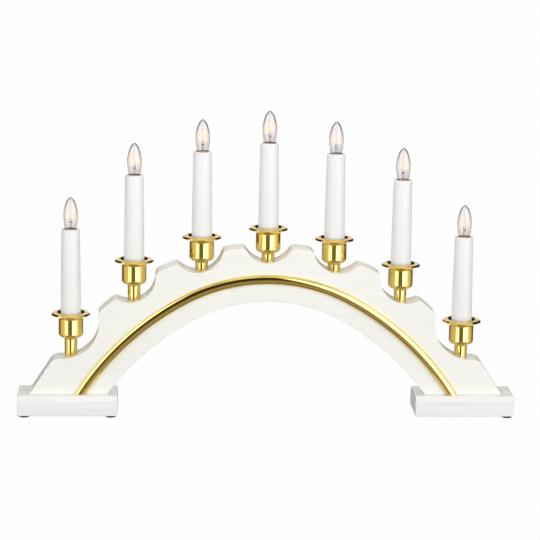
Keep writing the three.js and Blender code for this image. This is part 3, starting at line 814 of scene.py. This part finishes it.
INSULATION = moulded_plastic("wire_insulation", (0.80, 0.79, 0.74), 0.45)
GLAND_PLASTIC = moulded_plastic("gland_plastic", (0.85, 0.85, 0.83), 0.45)


def dress(piece, material, slot, body, *nodes):
    """Gives a piece its finish, its body and the solids that it stands for."""
    piece.data.materials.clear()
    piece.data.materials.append(material)
    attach(piece, body)
    if nodes:
        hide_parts(*nodes)


def copied(pattern, name, place):
    """The pattern's mesh once more, at a place in millimetres."""
    piece = bpy.data.objects.new(name, pattern.data)
    piece.location = Vector(place) * MM
    bpy.context.scene.collection.objects.link(piece)
    return piece


def at_candles(pattern, name, heights, material, slot, node):
    """A copy of the pattern at each candle, for that candle's own solid; the pattern is used up."""
    for n, x, z in zip(CANDLES, CANDLE_X, heights):
        dress(copied(pattern, f"{name}_{n}", (x, 0, z)), material, slot, "stand", f"{node}_{n}")
    bpy.data.objects.remove(pattern)


# Pieces


def groove_z(x):
    return GROOVE_CENTRE + math.sqrt(GROOVE_RADIUS**2 - x**2)


def groove_outline(half):
    """The groove's mouth or floor: a curved slot with round ends."""

    def end_arc(angle, turn):
        x = GROOVE_RADIUS * math.sin(angle)
        z = GROOVE_CENTRE + GROOVE_RADIUS * math.cos(angle)
        return arc(x, z, half, angle + turn, angle + turn + math.pi, 12)[1:-1]

    over = arc(0, GROOVE_CENTRE, GROOVE_RADIUS + half, GROOVE_START, GLAND_ANGLE, 72)
    under = arc(0, GROOVE_CENTRE, GROOVE_RADIUS - half, GLAND_ANGLE, GROOVE_START, 72)
    return over + end_arc(GLAND_ANGLE, 0) + under + end_arc(GROOVE_START, math.pi)


def groove_cutter():
    half = GROOVE_WIDTH / 2
    steps = [
        (half, GROOVE_FLOOR),
        (half, BOARD_BACK - GROOVE_CHAMFER),
        (half + 2 * GROOVE_CHAMFER, BOARD_BACK + GROOVE_CHAMFER),
    ]
    rings = [[facing_front(p, depth) for p in groove_outline(width)] for width, depth in steps]
    return stacked("groove", rings)


def make_board():
    board = slab("board", board_outline(), -BOARD_BACK, BOARD_BACK, facing_front, BOARD_EDGE)
    cutters = [groove_cutter()]
    for x, rim, foot in zip(CANDLE_X, RIM_Z, NECK_FOOT):
        cutters.append(upright(NECK_DIAMETER / 2 + BORE_GAP, foot, rim, x))
        cutters.append(upright(WIRE_BORE_DIAMETER / 2, groove_z(x), foot + CUT_PAST, x))
    for end in BLOCK_ENDS:
        screw = f"screw_{end}"
        top = high(screw).z + CUT_PAST
        cutters.append(upright(SCREW_HOLE_DIAMETER / 2, BLOCK_TOP - CUT_PAST, top, middle(screw).x))
    even_shading(carved(board, cutters))
    dress(board, BOARD_LACQUER, "white_lacquer", "stand", "arch_board")


def make_bases():
    for side in SIDES:
        node = f"base_{side}"
        start, end = low(node), high(node)
        half = end.y
        section = filleted(
            [
                (-half, start.z, BASE_EDGE),
                (half, start.z, BASE_EDGE),
                (half, end.z - BASE_BEVEL, BASE_EDGE),
                (half - BASE_BEVEL, end.z, BASE_EDGE),
                (BASE_BEVEL - half, end.z, BASE_EDGE),
                (-half, end.z - BASE_BEVEL, BASE_EDGE),
            ]
        )
        block = slab(f"block_{side}", section, start.x, end.x, along_x, BASE_EDGE)
        cutters = []
        below = start.z - CUT_PAST
        for place in ENDS:
            x = middle(f"screw_{side}_{place}").x
            cutters.append(upright(SCREW_HOLE_DIAMETER / 2, below, end.z + CUT_PAST, x))
            cutters.append(upright(SCREW_HEAD_DIAMETER / 2 + BORE_GAP, below, start.z + SCREW_RECESS, x))
        even_shading(carved(block, cutters))
        dress(block, BASE_LACQUER, "white_lacquer", "stand", node)


def make_feet():
    near, far = low("foot_left_outer_front"), high("foot_left_outer_front")
    radius, top = (far.y - near.y) / 2, far.z
    profile = filleted(
        [
            (0, 0, 0),
            (radius - FOOT_TAPER, 0, 0.6),
            (radius, top * FOOT_TAPER_SHARE, 1.0),
            (radius, top, 0),
            (0, top, 0),
        ]
    )
    pattern = turned("foot_pattern", profile, 48)
    for end in BLOCK_ENDS:
        for face in ("front", "back"):
            node = f"foot_{end}_{face}"
            place = middle(node)
            foot = copied(pattern, f"pad_{end}_{face}", (place.x, place.y, 0))
            dress(foot, RUBBER, "foot_rubber", "stand", node)
    bpy.data.objects.remove(pattern)


def make_screws():
    """Pan-head screws with a cross recess, in their holes under the blocks."""
    foot, top = low("screw_left_inner").z, high("screw_left_inner").z
    head, shank, core = SCREW_HEAD_DIAMETER / 2, SCREW_DIAMETER / 2, SCREW_CORE_DIAMETER / 2
    seat = foot + SCREW_HEAD_HEIGHT
    profile = [(0, foot, 0), (head, foot, 1.8), (head, seat, 0.2), (core, seat, 0)]
    turns = int((top - seat - SCREW_NECK - SCREW_POINT) / THREAD_PITCH)
    for k in range(turns):
        z = seat + SCREW_NECK + k * THREAD_PITCH
        profile += [(core, z - SCREW_THREAD_HALF, 0), (shank, z, 0), (core, z + SCREW_THREAD_HALF, 0)]
    profile.append((0, top, 0))
    pattern = turned("screw_pattern", filleted(profile), 32)
    slots = []
    for turn in (0, math.pi / 2):
        rings = []
        for z in (foot - CUT_PAST, foot + SLOT_DEPTH):
            ring = [Vector((x * SLOT_LENGTH / 2, y * SLOT_WIDTH / 2, z)) for x, y in SQUARE]
            rings.append([Matrix.Rotation(turn, 3, "Z") @ p for p in ring])
        slots.append(stacked("slot", rings))
    carved(pattern, slots)
    for end in BLOCK_ENDS:
        node = f"screw_{end}"
        screw = copied(pattern, f"wood_screw_{end}", (middle(node).x, 0, 0))
        dress(screw, STEEL, "screw_steel", "stand", node)
    bpy.data.objects.remove(pattern)


def make_trim():
    """Half-round rod: each line along it runs parallel to the opening and ends level with the block."""
    foot = low("brass_trim").z
    lines = []
    for k in range(TRIM_SIDES + 1):
        angle = math.pi * k / TRIM_SIDES
        curve = opening_curve(TRIM_OFFSET + TRIM_WIDTH / 2 * math.cos(angle), foot)
        depth = -BOARD_BACK - TRIM_HEIGHT * math.sin(angle)
        lines.append([(p.x, depth, p.y) for p in curve])
    rings = [list(ring) for ring in zip(*lines)]
    trim = stacked("trim_rod", rings, sharp_angle=60)
    dress(trim, BRASS, "polished_brass", "stand", "brass_trim")


def make_cups():
    rim, wall, neck = RIM_RADIUS, CUP_DIAMETER / 2, NECK_DIAMETER / 2
    shoulder = -CUP_DEPTH - SHOULDER_ROUND
    profile = filleted(
        [
            (neck, -CUP_HEIGHT, 0.2),
            (neck, shoulder - NECK_ROUND - WALL_SUPPORT, 0),
            (neck, shoulder, NECK_ROUND),
            (wall, shoulder, SHOULDER_ROUND),
            (wall, -CUP_DEPTH + WALL_SUPPORT, 0),
            (wall, -FLARE_HEIGHT - FLARE_ROUND - WALL_SUPPORT, 0),
            (wall, -FLARE_HEIGHT, FLARE_ROUND),
            (rim, -RIM_UNDER, 0.15),
            (rim - LIP_REACH, RIM_LIP, LIP_ROUND),
            (CREST_DIAMETER / 2, CREST_RISE + CREST_CORNER, CREST_ROUND),
            (wall - CUP_WALL, -FLARE_HEIGHT, FLARE_ROUND),
            (wall - CUP_WALL, CUP_FLOOR, SHOULDER_ROUND - CUP_WALL),
            (neck - CUP_WALL, CUP_FLOOR, 0.3),
            (neck - CUP_WALL, -CUP_HEIGHT, 0.2),
        ],
        steps=10,
    )
    pattern = turned("cup_pattern", profile, 96, sharp_angle=60)
    mesh = pattern.data
    at_candles(pattern, "brass_cup", RIM_Z, BRASS, "polished_brass", "cup")
    # Inner faces of the cup's mouth get the near-black brass: painted shade in the hollow
    mesh.materials.append(PAINTED_SHADE_BRASS)
    for face in mesh.polygons:
        inwards = face.normal.x * face.center.x + face.normal.y * face.center.y < 0
        mouth = Vector(face.center[:2]).length < SHADED_MOUTH_DIAMETER / 2 * MM
        face.material_index = 1 if inwards and mouth else 0


def make_candle_tubes():
    top, foot = TUBE_TOP_DIAMETER / 2, TUBE_FOOT_DIAMETER / 2
    seat = CUP_DIAMETER / 2 - SHOULDER_ROUND - BORE_GAP
    bore, wire_way = TUBE_BORE_DIAMETER / 2, SPIGOT_BORE_DIAMETER / 2
    shaft = HOLDER_DIAMETER / 2 + HOLDER_FLANGE / 2 + BORE_GAP
    floor = CUP_FLOOR - TUBE_RISE
    step = HOLDER_FLANGE - HOLDER_DEPTH
    profile = filleted(
        [
            (wire_way, -TUBE_LENGTH, 0),
            (SPIGOT_DIAMETER / 2, -TUBE_LENGTH, 0.4),
            (SPIGOT_DIAMETER / 2, floor, 0),
            (seat, floor, 0.3),
            (foot, -CUP_DEPTH - TUBE_RISE, 0.8),
            (top, 0, TUBE_TOP_ROUND),
            (bore, 0, 0.35),
            (bore, -TUBE_MOUTH_DEPTH, 0),
            (HOLDER_DIAMETER / 2 + BORE_GAP, -TUBE_MOUTH_DEPTH - MOUTH_TAPER, 0),
            (HOLDER_DIAMETER / 2 + BORE_GAP, step, 0),
            (shaft, step, 0),
            (shaft, floor + TUBE_FLOOR, 0),
            (wire_way, floor + TUBE_FLOOR, 0),
        ]
    )
    pattern = turned("tube_pattern", profile, 72)
    at_candles(pattern, "candle", TUBE_TOP, CANDLE_PLASTIC, "candle_plastic", "candle_tube")


def make_lamp_holders():
    """Holders with a plain bore for the lamp's cap and a thin collar that shows round the foot of the lamp.
    """
    body, bore = HOLDER_DIAMETER / 2, CAP_DIAMETER / 2 + BORE_GAP
    flange = body + HOLDER_FLANGE / 2
    floor = -GLASS_FOOT_DEPTH - CAP_LENGTH - CAP_TIP_LENGTH - 2 * BORE_GAP
    rim = -GLASS_FOOT_DEPTH - DISH_DEPTH
    profile = filleted(
        [
            (0, -HOLDER_DEPTH, 0),
            (flange, -HOLDER_DEPTH, 0.3),
            (flange, HOLDER_FLANGE - HOLDER_DEPTH, 0),
            (body, HOLDER_FLANGE - HOLDER_DEPTH, 0),
            (body, -COLLAR_DEPTH - MOUTH_TAPER, 0),
            (body + COLLAR_STEP, -COLLAR_DEPTH, 0),
            (body + COLLAR_STEP, HOLDER_SLEEVE_RISE, 0.1),
            (GLASS_MOUTH_DIAMETER / 2 + COLLAR_GAP, HOLDER_SLEEVE_RISE, 0.1),
            (body - DISH_WALL, rim, 0),
            (bore, rim, 0.2),
            (bore, floor, 0),
            (0, floor, 0),
        ]
    )
    pattern = turned("holder_pattern", profile, 48)
    at_candles(pattern, "lamp_socket", TUBE_TOP, HOLDER_PLASTIC, "holder_plastic", "lamp_holder")


def spline(points, steps=10):
    """A smooth curve through plane points."""
    ends = [2 * points[0] - points[1], *points, 2 * points[-1] - points[-2]]
    curve = [points[0]]
    for a, b, c, d in zip(ends, ends[1:], ends[2:], ends[3:]):
        for k in range(1, steps + 1):
            t = k / steps
            bend = a * 2 - b * 5 + c * 4 - d
            sway = b * 3 - a - c * 3 + d
            curve.append((b * 2 + (c - a) * t + bend * t**2 + sway * t**3) / 2)
    return curve


def glass_profile():
    """Flame-shaped envelope: up the outside to the tip and down the inside."""
    route = [
        (GLASS_FOOT_DIAMETER, -GLASS_FOOT_DEPTH),
        (GLASS_MOUTH_DIAMETER, 0),
        (GLASS_DIAMETER, GLASS_BELLY_RISE),
        (GLASS_NECK_DIAMETER, GLASS_NECK_RISE),
        (GLASS_POINT_DIAMETER, GLASS_POINT_RISE),
        (2 * GLASS_WALL, GLASS_TIP_RISE - GLASS_WALL / 2),
    ]
    outside = spline([Vector((width / 2, rise)) for width, rise in route])
    inside = []
    for before, here, after in zip(outside, outside[1:], outside[2:]):
        along = (after - before).normalized()
        point = here + Vector((-along.y, along.x)) * GLASS_WALL
        if point.x > GLASS_WALL / 2:
            inside.append(point)
    tip = [Vector((0, GLASS_TIP_RISE)), Vector((0, inside[-1].y + GLASS_WALL / 2))]
    foot = Vector((inside[0].x, outside[0].y))
    return outside + tip + inside[::-1] + [foot]


def cap_profile():
    """Screw cap with its rolled thread, and the contact at its foot."""
    radius, core = CAP_DIAMETER / 2, CAP_DIAMETER / 2 - THREAD_DEPTH
    top = -GLASS_FOOT_DEPTH - BORE_GAP
    foot = top - CAP_LENGTH
    tip = foot - CAP_TIP_LENGTH
    profile = [(0, tip, 0), (CONTACT_TIP_DIAMETER / 2, tip, 0.4), (CONTACT_DIAMETER / 2, foot, 0)]
    profile.append((core, foot, 0.3))
    for k in range(int((CAP_LENGTH - CAP_PLAIN_LENGTH) / THREAD_PITCH)):
        z = foot + CAP_PLAIN_LENGTH + k * THREAD_PITCH
        profile += [(core, z, 0.3), (radius, z + THREAD_PITCH / 2, 0.3)]
    profile += [(core, top - CAP_COLLAR, 0.2), (radius, top, 0.1), (0, top, 0)]
    return filleted(profile)


def filament_pattern():
    half = FILAMENT_WIDTH / 2
    crown = arc(0, FILAMENT_TOP - half, half, -math.pi / 2, math.pi / 2, 12)
    route = [(-half, FILAMENT_FOOT), *crown, (half, FILAMENT_FOOT)]
    return rod("filament_pattern", [Vector((x, 0, z)) for x, z in route], FILAMENT_WIRE / 2)


def lead_pattern(side):
    """A lead from the cap through the bead to one end of the filament."""
    near, far = LEAD_SPACING / 2, FILAMENT_WIDTH / 2
    foot = -GLASS_FOOT_DEPTH - 2 * BORE_GAP
    route = [(near, foot), (near, BEAD_RISE), (far, FILAMENT_FOOT + LEAD_LAP)]
    path = bent([Vector((side * x, 0, z)) for x, z in route], LEAD_BEND)
    return rod("lead_pattern", path, LEAD_WIRE / 2)


def bead_pattern():
    half = Vector((BEAD_WIDTH / 2, -BEAD_HEIGHT / 2))
    profile = [Vector((0, BEAD_RISE)) + half * p for p in arc(0, 0, 1, 0, math.pi, 12)]
    return turned("bead_pattern", profile, 24)


def mount_pattern():
    """The disc in the foot of the glass that the leads stand on."""
    rim, floor = MOUNT_DIAMETER / 2, -GLASS_FOOT_DEPTH
    profile = filleted(
        [
            (0, floor, 0),
            (MOUNT_FOOT_DIAMETER / 2, floor, 0.2),
            (rim, -MOUNT_DEPTH - MOUNT_BEVEL, 0.3),
            (rim - MOUNT_BEVEL, -MOUNT_DEPTH, 0.3),
            (0, -MOUNT_DEPTH, 0),
        ]
    )
    return turned("mount_pattern", profile, 40)


def make_lamps():
    glass = turned("glass_pattern", glass_profile(), 64, sharp_angle=80)
    cap = turned("cap_pattern", cap_profile(), 48)
    filament = filament_pattern()
    leads = [lead_pattern(-1), lead_pattern(1)]
    bead = bead_pattern()
    mount = mount_pattern()
    for n, x, z in zip(CANDLES, CANDLE_X, TUBE_TOP):
        place, body = (x, 0, z), f"bulb_base_{n}"
        dress(copied(glass, f"lamp_glass_{n}", place), GLASS, "bulb_glass", f"bulb_{n}", f"bulb_glass_{n}")
        dress(copied(cap, f"lamp_cap_{n}", place), LAMP_METAL, "lamp_metal", body, f"bulb_cap_{n}")
        dress(copied(filament, f"filament_{n}", place), FILAMENT, "lamp_metal", body)
        dress(copied(bead, f"bead_{n}", place), BEAD, "lamp_metal", body)
        dress(copied(mount, f"mount_{n}", place), MOUNT, "holder_plastic", body)
        for lead, side in zip(leads, SIDES):
            dress(copied(lead, f"lead_{side}_{n}", place), LEAD_METAL, "lamp_metal", body)
    for pattern in (glass, cap, filament, bead, mount, *leads):
        bpy.data.objects.remove(pattern)


def make_gland():
    node = "cord_gland"
    bore, body = GLAND_BORE_DIAMETER / 2, GROOVE_WIDTH / 2 - BORE_GAP
    flange = (high(node).z - low(node).z) / 2
    inner, outer = low(node).y - BOARD_BACK, high(node).y - BOARD_BACK
    profile = filleted(
        [
            (bore, inner, 0.3),
            (body, inner, 0.3),
            (body, 0, 0),
            (flange, 0, 0.2),
            (flange, outer, 0.7),
            (bore, outer, 0.6),
        ]
    )
    gland = turned("lead_gland", profile, 48)
    gland.data.transform(Matrix.Rotation(-math.pi / 2, 4, "X"))
    gland.location = GLAND * MM
    dress(gland, GLAND_PLASTIC, "gland_plastic", "stand", node)


def groove_run(start, end, lane):
    angles = [math.asin(start / GROOVE_RADIUS), math.asin(end / GROOVE_RADIUS)]
    steps = max(2, round(abs(end - start) / 6))
    return [Vector((p.x, lane, p.y)) for p in arc(0, GROOVE_CENTRE, GROOVE_RADIUS, *angles, steps)]


def wire_end(index, side):
    return Vector((CANDLE_X[index] + side * WIRE_PAIR_OFFSET, 0, TUBE_TOP[index] - HOLDER_DEPTH - BORE_GAP))


def gland_exit(offset, lane):
    x = GLAND.x + offset * math.cos(GLAND_ANGLE)
    z = GLAND.z - offset * math.sin(GLAND_ANGLE)
    return [Vector((x, lane, z)), Vector((x, BOARD_BACK + GLAND_FLANGE / 2, z))]


def make_wires():
    routes = {}
    for i in range(len(CANDLE_X) - 1):
        run = groove_run(CANDLE_X[i] + WIRE_PAIR_OFFSET, CANDLE_X[i + 1] - WIRE_PAIR_OFFSET, 0)
        routes[f"wire_link_{i + 1}_{i + 2}"] = [wire_end(i, 1), *run, wire_end(i + 1, -1)]
    feed = wire_end(len(CANDLE_X) - 1, 1)
    turn = Vector((feed.x, 0, groove_z(feed.x)))
    routes["wire_feed"] = [feed, turn, *gland_exit(GLAND_PAIR_OFFSET, 0)]
    back = wire_end(0, -1)
    crossing = Vector((back.x, 0, groove_z(back.x) + GROOVE_WIDTH))
    run = groove_run(back.x, OUTER_CANDLE, RETURN_LANE)
    routes["wire_return"] = [back, crossing, *run, *gland_exit(-GLAND_PAIR_OFFSET, RETURN_LANE)]
    for node, corners in routes.items():
        wire = rod(node.replace("wire", "lead_wire"), bent(corners, WIRE_BEND), WIRE_DIAMETER / 2)
        dress(wire, INSULATION, "wire_insulation", "stand", node)


# Stage


def floor_material():
    """A pale floor that the camera and glass see mostly as even white, with some of its shadow left."""
    grey = (FLOOR_GREY, FLOOR_GREY, FLOOR_GREY, 1)
    finish = Finish("floor", base_color=grey, roughness=0.9, specular_ior_level=0)
    share = finish.math("MULTIPLY", finish.seen(), FLOOR_WHITENESS)
    shaded = finish.shader.outputs["BSDF"]
    white = finish.nodes.new("ShaderNodeEmission").outputs["Emission"]
    mixed = finish.add("MixShader", "Shader", {"Fac": share, 1: shaded, 2: white})
    finish.links.new(mixed, finish.nodes["Material Output"].inputs["Surface"])
    return finish.material


def make_floor():
    corners = [(x * FLOOR_REACH, y * FLOOR_REACH, 0) for x, y in SQUARE]
    floor = new_piece("floor", corners, [(0, 1, 2, 3)])
    floor.data.materials.append(floor_material())
    floor.visible_glossy = False


class Sky(Tree):
    """The world's colour by direction: angle from the front, positive to the right, and height."""

    def __init__(self, tree):
        super().__init__(tree)
        place = self.nodes.new("ShaderNodeTexCoord").outputs["Generated"]
        across, away, self.height = self.add("SeparateXYZ", "X", {"Vector": place}).node.outputs
        turn = self.math("ARCTAN2", across, self.math("MULTIPLY", away, -1))
        self.turn = self.math("MULTIPLY_ADD", turn, 0.5 / math.pi, 0.5)

    def round_about(self, level):
        """A colour for each angle from the front, in degrees, from -180 to 180."""
        stops = [(degrees / 360 + 0.5, colour) for *angles, colour in level for degrees in angles]
        return self.ramp(self.turn, stops)

    def above(self, degrees, blur):
        """0 below a height in degrees and 1 above it."""
        start, end = [math.sin(math.radians(degrees + d)) for d in (-blur, blur)]
        return self.span(self.height, start, end, "SMOOTHSTEP")


def make_world():
    """Room light for matt surfaces, white for the camera, and a studio for polished metal."""
    world = bpy.data.worlds.new("studio")
    bpy.context.scene.world = world
    world.use_nodes = True
    sky = Sky(world.node_tree)
    studio = NEAR_TABLE
    for height, blur, level in STUDIO:
        colours = sky.round_about(level) if isinstance(level, list) else level
        studio = sky.mix(sky.above(height, blur), studio, colours)
    overhead = sky.above(WARM_ROOM_HEIGHT, WARM_ROOM_BLUR)
    room = sky.mix(overhead, sky.round_about(ROOM_LEVEL), WARM_ROOM)
    mirrored = sky.nodes.new("ShaderNodeLightPath").outputs["Is Glossy Ray"]
    colour = sky.mix(mirrored, sky.mix(sky.seen(), room, WHITE), studio)
    sky.links.new(colour, sky.nodes["Background"].inputs["Color"])


def add_softbox(name, place, aim, width, height, radiance):
    lamp = bpy.data.lights.new(name, "AREA")
    lamp.shape = "RECTANGLE"
    lamp.size = width * MM
    lamp.size_y = height * MM
    lamp.energy = radiance * math.pi * width * height * MM**2
    softbox = bpy.data.objects.new(name, lamp)
    softbox.location = place * MM
    softbox.rotation_euler = (place - aim).to_track_quat("Z", "Y").to_euler()
    softbox.visible_glossy = False
    bpy.context.scene.collection.objects.link(softbox)


def make_softboxes():
    for name, (azimuth, distance, width, bottom, top, radiance) in SOFTBOXES.items():
        angle = math.radians(azimuth)
        foot = Vector((math.sin(angle), -math.cos(angle), 0)) * distance
        level = Vector((0, 0, (bottom + top) / 2))
        add_softbox(name, foot + level, level, width, top - bottom, radiance)
    place = Vector((0, 0, TOP_LAMP_HEIGHT))
    add_softbox("softbox_top", place, Vector(), TOP_LAMP_WIDTH, TOP_LAMP_DEPTH, TOP_LAMP_RADIANCE)


def make_camera():
    level = Vector((math.cos(CAMERA_YAW), math.sin(CAMERA_YAW), 0))
    ahead = Vector((-level.y, level.x, 0))
    forward = ahead * math.cos(CAMERA_PITCH) - Vector((0, 0, math.sin(CAMERA_PITCH)))
    rise = level.cross(forward)
    right = level * math.cos(CAMERA_ROLL) + rise * math.sin(CAMERA_ROLL)
    up = rise * math.cos(CAMERA_ROLL) - level * math.sin(CAMERA_ROLL)
    data = bpy.data.cameras.new("camera")
    data.sensor_width = SENSOR_WIDTH
    data.lens = SENSOR_WIDTH * CAMERA_FOCAL_PIXELS / FRAME_PIXELS
    camera = bpy.data.objects.new("camera", data)
    placed = Matrix((right, up, -forward)).transposed().to_4x4()
    placed.translation = (CAMERA_TARGET - forward * CAMERA_DISTANCE) * MM
    camera.matrix_world = placed
    bpy.context.scene.collection.objects.link(camera)
    bpy.context.scene.camera = camera


bpy.context.scene.view_settings.view_transform = "Standard"
make_camera()
make_world()
make_floor()
make_softboxes()
make_board()
make_bases()
make_feet()
make_screws()
make_trim()
make_cups()
make_candle_tubes()
make_lamp_holders()
make_lamps()
make_gland()
make_wires()
